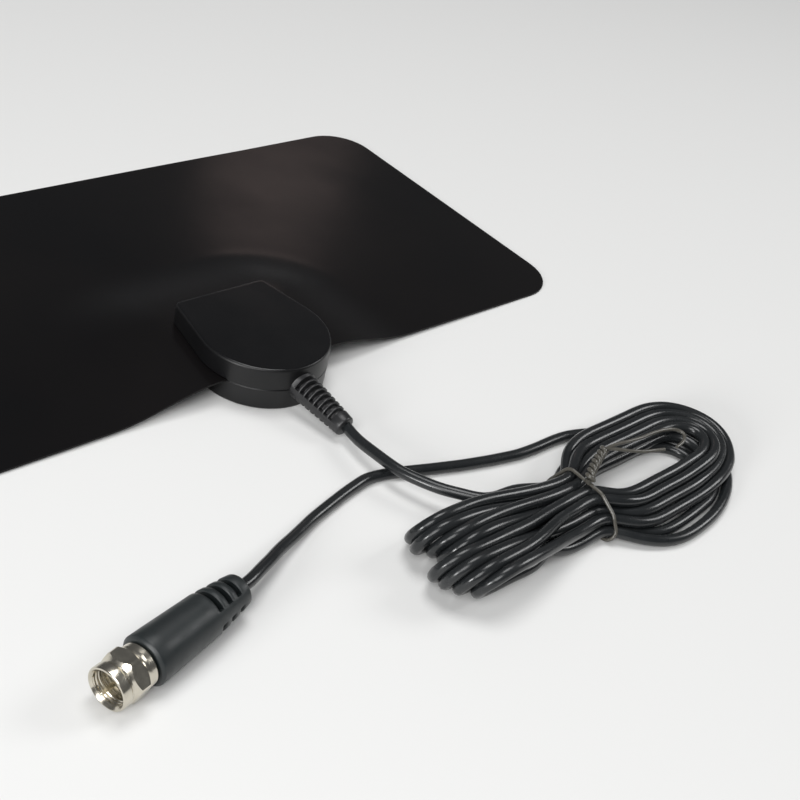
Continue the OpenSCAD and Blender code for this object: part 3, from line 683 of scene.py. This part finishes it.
def shell_piece(name, node_name, parting, face, gap):
    """One half of the housing, hollow and open at the parting line, with a gap there for the panel."""
    ring, out = housing_outline()
    up = 1 if face > parting else -1
    steps = [(WALL, face - up * FACE_T)]
    steps += [(WALL, parting), (SEAM, parting), (0, parting + up * SEAM)]
    arc = [(EDGE_R * (1 - math.cos(a)), EDGE_R * (1 - math.sin(a))) for a in np.linspace(0, math.pi / 2, 7)]
    steps += [(DRAFT + inset, face - up * down) for inset, down in arc]
    steps.append((DRAFT + EDGE_R + FLAT_BAND, face))
    vertices, faces = [], []
    count = len(ring)
    parting_levels = (1, 2, 3)
    for level, (inset, z) in enumerate(steps):
        for (x, y), (nx, ny) in zip(ring, out):
            lift = 0
            if level in parting_levels and y > EDGE_Y:
                lift = up * gap
            vertices.append((x - nx * inset, y - ny * inset, z + lift))
    for level in range(len(steps) - 1):
        for k in range(count):
            a, b = level * count + k, level * count + (k + 1) % count
            faces.append((a, b, b + count, a + count))
    faces.append(tuple(range(count)))
    faces.append(tuple((len(steps) - 1) * count + k for k in range(count)))
    piece = mesh_piece(name, vertices, faces, FINISH["plastic"])
    sharpen(piece, 32)
    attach(piece, "antenna")
    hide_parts(node_name)
    return piece


# Pieces turned round an axis

def axis_frame(origin, axis):
    """A matrix whose Z runs along the axis and whose Y is the way nearest to upward."""
    z = Vector(axis).normalized()
    x = Vector((0, 0, 1)).cross(z).normalized()
    y = z.cross(x)
    return Matrix.Translation(Vector(origin)) @ Matrix((x, y, z)).transposed().to_4x4()


def turned_piece(name, place, profile, angles, material, radius_at):
    """A piece turned from (distance, radius) pairs; radius_at changes the radius with the angle."""
    vertices, faces = [], []
    count = len(angles)
    for row, (s, r) in enumerate(profile):
        for angle in angles:
            radius = radius_at(row, angle, r)
            vertices.append(place @ Vector((radius * math.cos(angle), radius * math.sin(angle), s)))
    for row in range(len(profile) - 1):
        for k in range(count):
            a, b = row * count + k, row * count + (k + 1) % count
            faces.append((a, b, b + count, a + count))
    faces.append(tuple(range(count)))
    faces.append(tuple((len(profile) - 1) * count + k for k in range(count)))
    return mesh_piece(name, vertices, faces, material)


RELIEF_L, RELIEF_ROOT_R, RELIEF_TIP_R = 17.6 * MM, 4.3 * MM, 3.1 * MM
RELIEF_SLOTS, RELIEF_SLOT_W, RELIEF_TIP_L = 8, 1.05 * MM, 2.6 * MM
RELIEF_LEAN, RELIEF_DROOP = math.radians(6), math.radians(9)
RELIEF_WEB = 2.2 * MM
RELIEF_CORE_R = LEAD_D / 2 + 0.65 * MM       # what is left at the bottom of a slot
RELIEF_FIRST, RELIEF_LIP, RELIEF_TIP_ROUND = 0.3 * MM, 0.14 * MM, 0.7 * MM
RELIEF_SUNK = 3.4 * MM                       # length inside the housing's wall
RELIEF_HOLE_R = LEAD_D / 2 + 0.05 * MM
LEAD_HOLE_R = LEAD_D / 2 + 0.02 * MM         # at a rounded tip


def web_angles(half_web, spread_in, middles, round_steps=80):
    """Angles round a ribbed piece, with close steps at the sides of each web."""
    marks = []
    for m in middles:
        marks += [m - half_web - spread_in, m - half_web, m + half_web, m + half_web + spread_in]
    marks = sorted(a % TAU for a in marks)
    angles = []
    for a, b in zip(marks, marks[1:] + [marks[0] + TAU]):
        steps = max(1, int(round((b - a) / TAU * round_steps)))
        angles += [(a + (b - a) * k / steps) % TAU for k in range(steps)]
    return sorted(angles)


def slot_rows(start, width, depth_r, radius_at_s, lip):
    """Rows of (distance, radius, share of the slot) across one slot, with rounded lips."""
    rows = []
    for s, share in ((start - lip, 0), (start - lip * 0.3, 0.06), (start, 0.25), (start, 1),
                     (start + width, 1), (start + width, 0.25), (start + width + lip * 0.3, 0.06),
                     (start + width + lip, 0)):
        rows.append((s, radius_at_s(s), share, depth_r))
    return rows


def rounded_tip(end, radius, edge):
    """Rows of a rounded end, in to the lead's hole."""
    rows = []
    for a in np.linspace(0, math.pi / 2, 6):
        rows.append((end - edge * (1 - math.sin(a)), radius - edge * (1 - math.cos(a)), 0, 0))
    rows.append((end, LEAD_HOLE_R, 0, 0))
    return rows


def slotted_piece(name, place, rows, web_half_angle, middles, material):
    """A turned piece whose slots stop at the webs: rows of distance, radius, share of depth, slot radius."""
    lip_angle = 0.06

    def radius_at(row, angle, radius):
        share, deep = rows[row][2], rows[row][3]
        if share == 0:
            return radius
        nearest = min(abs((angle - m + math.pi) % TAU - math.pi) for m in middles)
        if nearest <= web_half_angle + 1e-6:
            return radius
        return radius - (radius - deep) * share * min(1, (nearest - web_half_angle) / lip_angle)

    angles = web_angles(web_half_angle, lip_angle, middles)
    return turned_piece(name, place, [(row[0], row[1]) for row in rows], angles, material, radius_at)


def strain_relief():
    """The slotted sleeve, which leans and droops from the housing's nose."""
    turn = Matrix.Rotation(RELIEF_LEAN, 4, "Z") @ Matrix.Rotation(math.pi / 2 + RELIEF_DROOP, 4, "X")
    place = Matrix.Translation((0, EDGE_Y - NOSE_L, PARTING_Z)) @ turn

    def taper(s):
        return RELIEF_ROOT_R + (RELIEF_TIP_R - RELIEF_ROOT_R) * max(0, s) / RELIEF_L

    rows = [(-RELIEF_SUNK, RELIEF_HOLE_R, 0, 0), (-RELIEF_SUNK, taper(0), 0, 0)]
    pitch = (RELIEF_L - RELIEF_TIP_L - RELIEF_FIRST) / RELIEF_SLOTS
    for k in range(RELIEF_SLOTS):
        rows += slot_rows(RELIEF_FIRST + k * pitch, RELIEF_SLOT_W, RELIEF_CORE_R, taper, RELIEF_LIP)
    rows += rounded_tip(RELIEF_L, taper(RELIEF_L), RELIEF_TIP_ROUND)
    web_half = RELIEF_WEB / 2 / ((RELIEF_ROOT_R + RELIEF_TIP_R) / 2)
    piece = slotted_piece("strain_relief_sleeve", place, rows, web_half, [0, math.pi], FINISH["relief"])
    sharpen(piece, 55)
    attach(piece, "antenna")
    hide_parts("strain_relief")
    return piece


# Plug: distances from the front of the nut, along the axis towards the lead
PLUG = axis_frame(PLUG_FRONT, PLUG_AXIS)
BOOT_AT, BOOT_L, TAIL_L = 10.5 * MM, 19.6 * MM, 11.4 * MM
BOOT_R, BOOT_WAIST_R, BOOT_TIP_R = 6.3 * MM, 5.6 * MM, 4.2 * MM
TAIL_RINGS, RING_STEP, RING_GAP, BOOT_WEB = 3, 3.4 * MM, 1.5 * MM, 3.0 * MM
BOOT_TURN = math.radians(27)      # the webs lie this far over the level, on the near side
BOOT_MOUTH_R, BOOT_MOUTH_L = 4.4 * MM, 2.6 * MM
BOOT_CORE_R, BOOT_LIP, BOOT_TIP_ROUND = BOOT_TIP_R - 1.4 * MM, 0.3 * MM, 0.8 * MM
BOOT_RIM = ((0, 0.75), (0.06, 0.62), (0.5, 0.16), (0.62, 0.05), (0.8, 0))   # mm along, mm under the radius
NUT_L, COLLAR_R, COLLAR_L = 10.2 * MM, 5.4 * MM, 2.4 * MM
NUT_FLATS, NECK_R, NUT_BORE_R = 11 * MM, 4.95 * MM, 4.4 * MM
SLEEVE_R, NUT_CLEAR, LIP_L = 3.7 * MM, 0.05 * MM, 1.8 * MM
NUT_START = math.radians(-10)     # where the hexagon's first corner lies
CORNER_CUT, CONE_L = 0.15 * MM, 1.1 * MM     # the corners turned down, and how far their cone reaches
THREAD_L, THREAD_AT, THREAD_TURNS, THREAD_RIDGE = 6.0 * MM, 0.7 * MM, 7.5, 0.3 * MM


def connector_boot():
    """The plug's boot: bevelled front rim, tapered barrel and ringed tail."""
    tail_at, end = BOOT_AT + BOOT_L, BOOT_AT + BOOT_L + TAIL_L

    def taper(s):
        if s < tail_at:
            return BOOT_R + (BOOT_WAIST_R - BOOT_R) * max(0, s - BOOT_AT - 2 * MM) / (BOOT_L - 2 * MM)
        return BOOT_WAIST_R + (BOOT_TIP_R - BOOT_WAIST_R) * (s - tail_at) / TAIL_L

    rows = [(BOOT_AT + BOOT_MOUTH_L, BOOT_MOUTH_R, 0, 0), (BOOT_AT, BOOT_MOUTH_R, 0, 0)]
    for s, drop in BOOT_RIM:
        rows.append((BOOT_AT + s * MM, BOOT_R - drop * MM, 0, 0))
    for k in range(1, 9):
        s = BOOT_AT + 2 * MM + (BOOT_L - 3 * MM) * k / 8
        rows.append((s, taper(s), 0, 0))
    for k in range(TAIL_RINGS):
        rows += slot_rows(tail_at + k * RING_STEP, RING_GAP, BOOT_CORE_R, taper, BOOT_LIP)
    rows += rounded_tip(end, BOOT_TIP_R, BOOT_TIP_ROUND)
    web_half = BOOT_WEB / 2 / ((BOOT_WAIST_R + BOOT_TIP_R) / 2)
    webs = [-BOOT_TURN, math.pi - BOOT_TURN]
    piece = slotted_piece("plug_boot", PLUG, rows, web_half, webs, FINISH["boot"])
    sharpen(piece, 55)
    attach(piece, "antenna")
    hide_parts("connector_boot")
    return piece


def coupling_nut():
    """Collars, hexagon with turned-down corners, and the bore for the thread."""
    corner_r = NUT_FLATS / math.sqrt(3) - CORNER_CUT
    hex_from, hex_to = COLLAR_L + 0.8 * MM, NUT_L - COLLAR_L
    cone = CONE_L / (corner_r - NECK_R)
    back_r = COLLAR_R - 0.2 * MM
    back_at = NUT_L - COLLAR_L + 0.3 * MM
    front = [(NUT_L - LIP_L, SLEEVE_R + NUT_CLEAR), (NUT_L - LIP_L, NUT_BORE_R), (0.6 * MM, NUT_BORE_R),
             (0.1 * MM, NUT_BORE_R + 0.4 * MM), (0, NUT_BORE_R + 0.5 * MM), (0, COLLAR_R - 0.4 * MM),
             (0.1 * MM, COLLAR_R - 0.15 * MM), (0.3 * MM, COLLAR_R - 0.03 * MM), (0.5 * MM, COLLAR_R),
             (COLLAR_L - 0.15 * MM, COLLAR_R), (COLLAR_L, COLLAR_R - 0.1 * MM), (COLLAR_L + 0.4 * MM, NECK_R),
             (hex_from, NECK_R)]
    back = [(hex_to, NECK_R), (back_at, NECK_R), (back_at + 0.35 * MM, back_r - 0.08 * MM),
            (back_at + 0.5 * MM, back_r), (NUT_L - 0.4 * MM, back_r), (NUT_L - 0.12 * MM, back_r - 0.12 * MM),
            (NUT_L, back_r - 0.4 * MM), (NUT_L, SLEEVE_R + NUT_CLEAR)]
    sides = 144
    rows = [[place] * sides for place in front]
    flats = []
    for k in range(sides):
        from_flat = (TAU * k / sides) % (math.pi / 3) - math.pi / 6
        flats.append(min(corner_r, NUT_FLATS / 2 / math.cos(from_flat)))
    rows.append([(hex_from + (flat - NECK_R) * cone, flat) for flat in flats])
    rows.append([(hex_to - (flat - NECK_R) * cone, flat) for flat in flats])
    rows += [[place] * sides for place in back]
    vertices, faces = [], []
    for row in rows:
        for k, (s, r) in enumerate(row):
            angle = TAU * k / sides + NUT_START
            vertices.append(PLUG @ Vector((r * math.cos(angle), r * math.sin(angle), s)))
    for row in range(len(rows)):
        following = (row + 1) % len(rows)
        for k in range(sides):
            ahead = (k + 1) % sides
            corners = (row * sides + k, row * sides + ahead)
            faces.append(corners + (following * sides + ahead, following * sides + k))
    piece = mesh_piece("nut_body", vertices, faces, FINISH["nickel"])
    sharpen(piece, 22)
    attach(piece, "nut")
    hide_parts("coupling_nut")
    return piece


# Trees of geometry nodes

def node_tree(name, sizes):
    """An empty tree with a named input for each size."""
    tree = bpy.data.node_groups.new(name, "GeometryNodeTree")
    tree.interface.new_socket("Geometry", in_out="INPUT", socket_type="NodeSocketGeometry")
    for label, kind in sizes:
        tree.interface.new_socket(label, in_out="INPUT", socket_type=kind)
    tree.interface.new_socket("Geometry", in_out="OUTPUT", socket_type="NodeSocketGeometry")
    return tree


def finish_tree(tree, geometry, material):
    """Ends a tree in Realize Instances and Set Material."""
    realize = tree.nodes.new("GeometryNodeRealizeInstances")
    paint = tree.nodes.new("GeometryNodeSetMaterial")
    paint.inputs["Material"].default_value = material
    out = tree.nodes.new("NodeGroupOutput")
    tree.links.new(geometry, realize.inputs["Geometry"])
    tree.links.new(realize.outputs["Geometry"], paint.inputs["Geometry"])
    tree.links.new(paint.outputs["Geometry"], out.inputs["Geometry"])


def grown(name, source, tree, values):
    """Runs a tree on an object and returns its result as a plain mesh piece."""
    modifier = source.modifiers.new(tree.name, "NODES")
    modifier.node_group = tree
    for item in tree.interface.items_tree:
        if item.in_out == "INPUT" and item.name in values:
            modifier[item.identifier] = values[item.name]
    bpy.context.view_layer.update()
    evaluated = source.evaluated_get(bpy.context.evaluated_depsgraph_get())
    mesh = bpy.data.meshes.new_from_object(evaluated)
    mesh.name = name
    piece = bpy.data.objects.new(name, mesh)
    bpy.context.scene.collection.objects.link(piece)
    bpy.data.objects.remove(source)
    shell = bmesh.new()
    shell.from_mesh(mesh)
    bmesh.ops.recalc_face_normals(shell, faces=shell.faces)
    shell.to_mesh(mesh)
    shell.free()
    return piece


def math_node(tree, operation, first, second=None):
    """A math node fed by numbers or by other nodes."""
    node = tree.nodes.new("ShaderNodeMath")
    node.operation = operation
    for socket, value in zip(node.inputs, (first, second)):
        if value is None:
            continue
        if isinstance(value, (int, float)):
            socket.default_value = value
        else:
            tree.links.new(value, socket)
    return node.outputs["Value"]


def twisted_wires(name, line, material):
    """Two wires twisted round each other along a line, made with geometry nodes."""
    tree = node_tree("twisted_wires", [
        ("Wire radius", "NodeSocketFloat"), ("Twist radius", "NodeSocketFloat"),
        ("Turns", "NodeSocketFloat"), ("Steps", "NodeSocketInt")])
    nodes, links = tree.nodes, tree.links
    given = nodes.new("NodeGroupInput")
    even = nodes.new("GeometryNodeResampleCurve")
    links.new(given.outputs["Geometry"], even.inputs["Curve"])
    links.new(given.outputs["Steps"], even.inputs["Count"])
    along = nodes.new("GeometryNodeSplineParameter")
    tangent = nodes.new("GeometryNodeInputTangent")
    join = nodes.new("GeometryNodeJoinGeometry")
    sideways = nodes.new("ShaderNodeVectorMath")
    sideways.operation = "CROSS_PRODUCT"
    links.new(tangent.outputs["Tangent"], sideways.inputs[0])
    sideways.inputs[1].default_value = (0, 0, 1)
    unit = nodes.new("ShaderNodeVectorMath")
    unit.operation = "NORMALIZE"
    links.new(sideways.outputs["Vector"], unit.inputs[0])
    upward = nodes.new("ShaderNodeVectorMath")
    upward.operation = "CROSS_PRODUCT"
    links.new(unit.outputs["Vector"], upward.inputs[0])
    links.new(tangent.outputs["Tangent"], upward.inputs[1])
    turns = math_node(tree, "MULTIPLY", along.outputs["Factor"], given.outputs["Turns"])
    angle = math_node(tree, "MULTIPLY", turns, TAU)
    for phase in (0.0, math.pi):
        turned = math_node(tree, "ADD", angle, phase)
        parts = []
        for operation, way in (("COSINE", unit), ("SINE", upward)):
            part = math_node(tree, operation, turned)
            reach = math_node(tree, "MULTIPLY", part, given.outputs["Twist radius"])
            scale = nodes.new("ShaderNodeVectorMath")
            scale.operation = "SCALE"
            links.new(way.outputs["Vector"], scale.inputs[0])
            links.new(reach, scale.inputs["Scale"])
            parts.append(scale)
        offset = nodes.new("ShaderNodeVectorMath")
        links.new(parts[0].outputs["Vector"], offset.inputs[0])
        links.new(parts[1].outputs["Vector"], offset.inputs[1])
        moved = nodes.new("GeometryNodeSetPosition")
        links.new(even.outputs["Curve"], moved.inputs["Geometry"])
        links.new(offset.outputs["Vector"], moved.inputs["Offset"])
        ring = nodes.new("GeometryNodeCurvePrimitiveCircle")
        ring.inputs["Resolution"].default_value = 10
        links.new(given.outputs["Wire radius"], ring.inputs["Radius"])
        tube = nodes.new("GeometryNodeCurveToMesh")
        links.new(moved.outputs["Geometry"], tube.inputs["Curve"])
        links.new(ring.outputs["Curve"], tube.inputs["Profile Curve"])
        tube.inputs["Fill Caps"].default_value = True
        links.new(tube.outputs["Mesh"], join.inputs["Geometry"])
    finish_tree(tree, join.outputs["Geometry"], material)
    source = tube_curve(name + "_path", line, 0, material)
    return grown(name, source, tree, {"Wire radius": KNOT_WIRE_R, "Twist radius": KNOT_TWIST_R,
                                      "Turns": KNOT_TURNS, "Steps": 90})


def nut_thread():
    """The fine inner thread of the nut: one ridge swept along a spiral with geometry nodes."""
    tree = node_tree("inner_thread", [("Bore radius", "NodeSocketFloat"), ("Length", "NodeSocketFloat"),
                                      ("Turns", "NodeSocketFloat"), ("Ridge", "NodeSocketFloat")])
    nodes, links = tree.nodes, tree.links
    given = nodes.new("NodeGroupInput")
    spiral = nodes.new("GeometryNodeCurveSpiral")
    spiral.inputs["Resolution"].default_value = 64
    links.new(given.outputs["Turns"], spiral.inputs["Rotations"])
    for label in ("Start Radius", "End Radius"):
        links.new(given.outputs["Bore radius"], spiral.inputs[label])
    links.new(given.outputs["Length"], spiral.inputs["Height"])
    ridge = nodes.new("GeometryNodeCurvePrimitiveCircle")
    ridge.inputs["Resolution"].default_value = 6
    links.new(given.outputs["Ridge"], ridge.inputs["Radius"])
    tube = nodes.new("GeometryNodeCurveToMesh")
    links.new(spiral.outputs["Curve"], tube.inputs["Curve"])
    links.new(ridge.outputs["Curve"], tube.inputs["Profile Curve"])
    tube.inputs["Fill Caps"].default_value = True
    finish_tree(tree, tube.outputs["Mesh"], FINISH["nickel"])
    source = mesh_piece("thread_seed", [(0, 0, 0)], [], FINISH["nickel"])
    piece = grown("nut_thread", source, tree, {"Bore radius": NUT_BORE_R + 0.02 * MM, "Length": THREAD_L,
                                               "Turns": THREAD_TURNS, "Ridge": THREAD_RIDGE})
    piece.data.transform(PLUG @ Matrix.Translation((0, 0, THREAD_AT)))
    for face in piece.data.polygons:
        face.use_smooth = False
    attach(piece, "nut")
    return piece


# Tie round the hank's waist

TIE_D = 1.0 * MM
KNOT_WIRE_R = 0.68 * MM           # the knot's wires are doubled back, so they are thicker than the tie
KNOT_TWIST_R = 0.8 * MM
KNOT_TURNS = 3.5
KNOT_LIFT = 1.1 * MM              # from the top of the tie to the middle of the knot
KNOT_RISE = 0.5 * MM              # from point to point of the knot's line
TIE_GAP = 0.05 * MM
TIE_SLANT = 1.2 * MM
KNOT = [(0.0398, -0.1389), (0.0400, -0.1379), (0.0420, -0.1368), (0.0450, -0.1354), (0.0480, -0.1341),
        (0.0512, -0.1330)]
# The wire's two ends, in mm from the end of the knot: one bent back to a hook, one straight
TAILS = [
    [(0, 0, 0), (4, -0.6, 0.6), (9, -1.6, 0.6), (14, -2.0, 0.2), (19, -1.9, -0.2), (24, -2.4, -0.4),
     (28, -3.6, -0.8), (29.5, -6.0, -1.2), (27, -8.0, -1.6), (23, -8.6, -1.8)],
    [(0, 0, 0), (3, -1.8, 0.2), (7, -4.0, -0.4), (11, -5.6, -1.0), (15, -6.6, -1.4), (18.5, -7.6, -1.6)]]


def waist_loop(line):
    """Path of the wire round the strands, hugging the ones that lie outside."""
    inside = (np.abs(line[:, 0] - WAIST[0]) < 1.1 * MM) & (np.abs(line[:, 1] - WAIST[1]) < 15 * MM)
    near = line[inside][:, 1:]
    reach = (LEAD_D + TIE_D) / 2 + TIE_GAP
    loop = []
    for k in range(97):
        angle = math.pi / 2 + TAU * k / 96
        way = np.array([math.cos(angle), math.sin(angle)])
        point = near[(near @ way).argmax()] + way * reach
        slant = TIE_SLANT * math.sin(angle)
        loop.append((WAIST[0] + slant, point[0], max(point[1], TIE_D / 2)))
    return smoothed(evened(loop, 0.8 * MM), 4)


def wire_tie(line):
    """The tie: its loop round the strands, its twisted knot and its two tails."""
    loop = waist_loop(line)
    top = float(loop[:, 2].max())
    piece_loop = tube_curve("tie_loop", loop, TIE_D, FINISH["tie"])
    knot_line = [(x, y, top + KNOT_LIFT + KNOT_RISE * k) for k, (x, y) in enumerate(KNOT)]
    knot_line = smoothed(evened(knot_line, 0.3 * MM), 10)
    knot = twisted_wires("tie_knot", knot_line, FINISH["tie"])
    end = knot_line[-1]
    tails = []
    for index, route in enumerate(TAILS):
        route_line = np.array([(end[0] + x * MM, end[1] + y * MM, end[2] + z * MM) for x, y, z in route])
        route_line = smoothed(evened(route_line, 0.8 * MM), 12)
        tails.append(tube_curve(f"tie_tail_{index + 1}", route_line, TIE_D, FINISH["tie"], 3))
    for piece in (piece_loop, knot, *tails):
        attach(piece, "antenna")
    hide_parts("wire_tie")
    return [piece_loop, knot, *tails]


# Build

add_camera()
add_studio()

lead = lead_line()
cord = tube_curve("lead_cord", lead, LEAD_D, FINISH["vinyl"], 5)
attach(cord, "antenna")
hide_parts("cord_lead", "cord_hank", "cord_tail")

film_piece("panel_front", FILM_T + FOIL_T, PANEL_T, "front_film")
film_piece("panel_back", 0, FILM_T, "back_film")
foil_piece("foil_field_left", -1, "foil_left")
foil_piece("foil_field_right", 1, "foil_right")
shell_piece("housing_upper", "upper_shell", PARTING_Z, HOUSE_H, PANEL_T / 2)
shell_piece("housing_lower", "lower_shell", PARTING_Z, 0, PANEL_T / 2)
relief = strain_relief()
boot = connector_boot()
nut = coupling_nut()
thread = nut_thread()
tie = wire_tie(lead)

bpy.context.scene.view_settings.view_transform = "Standard"
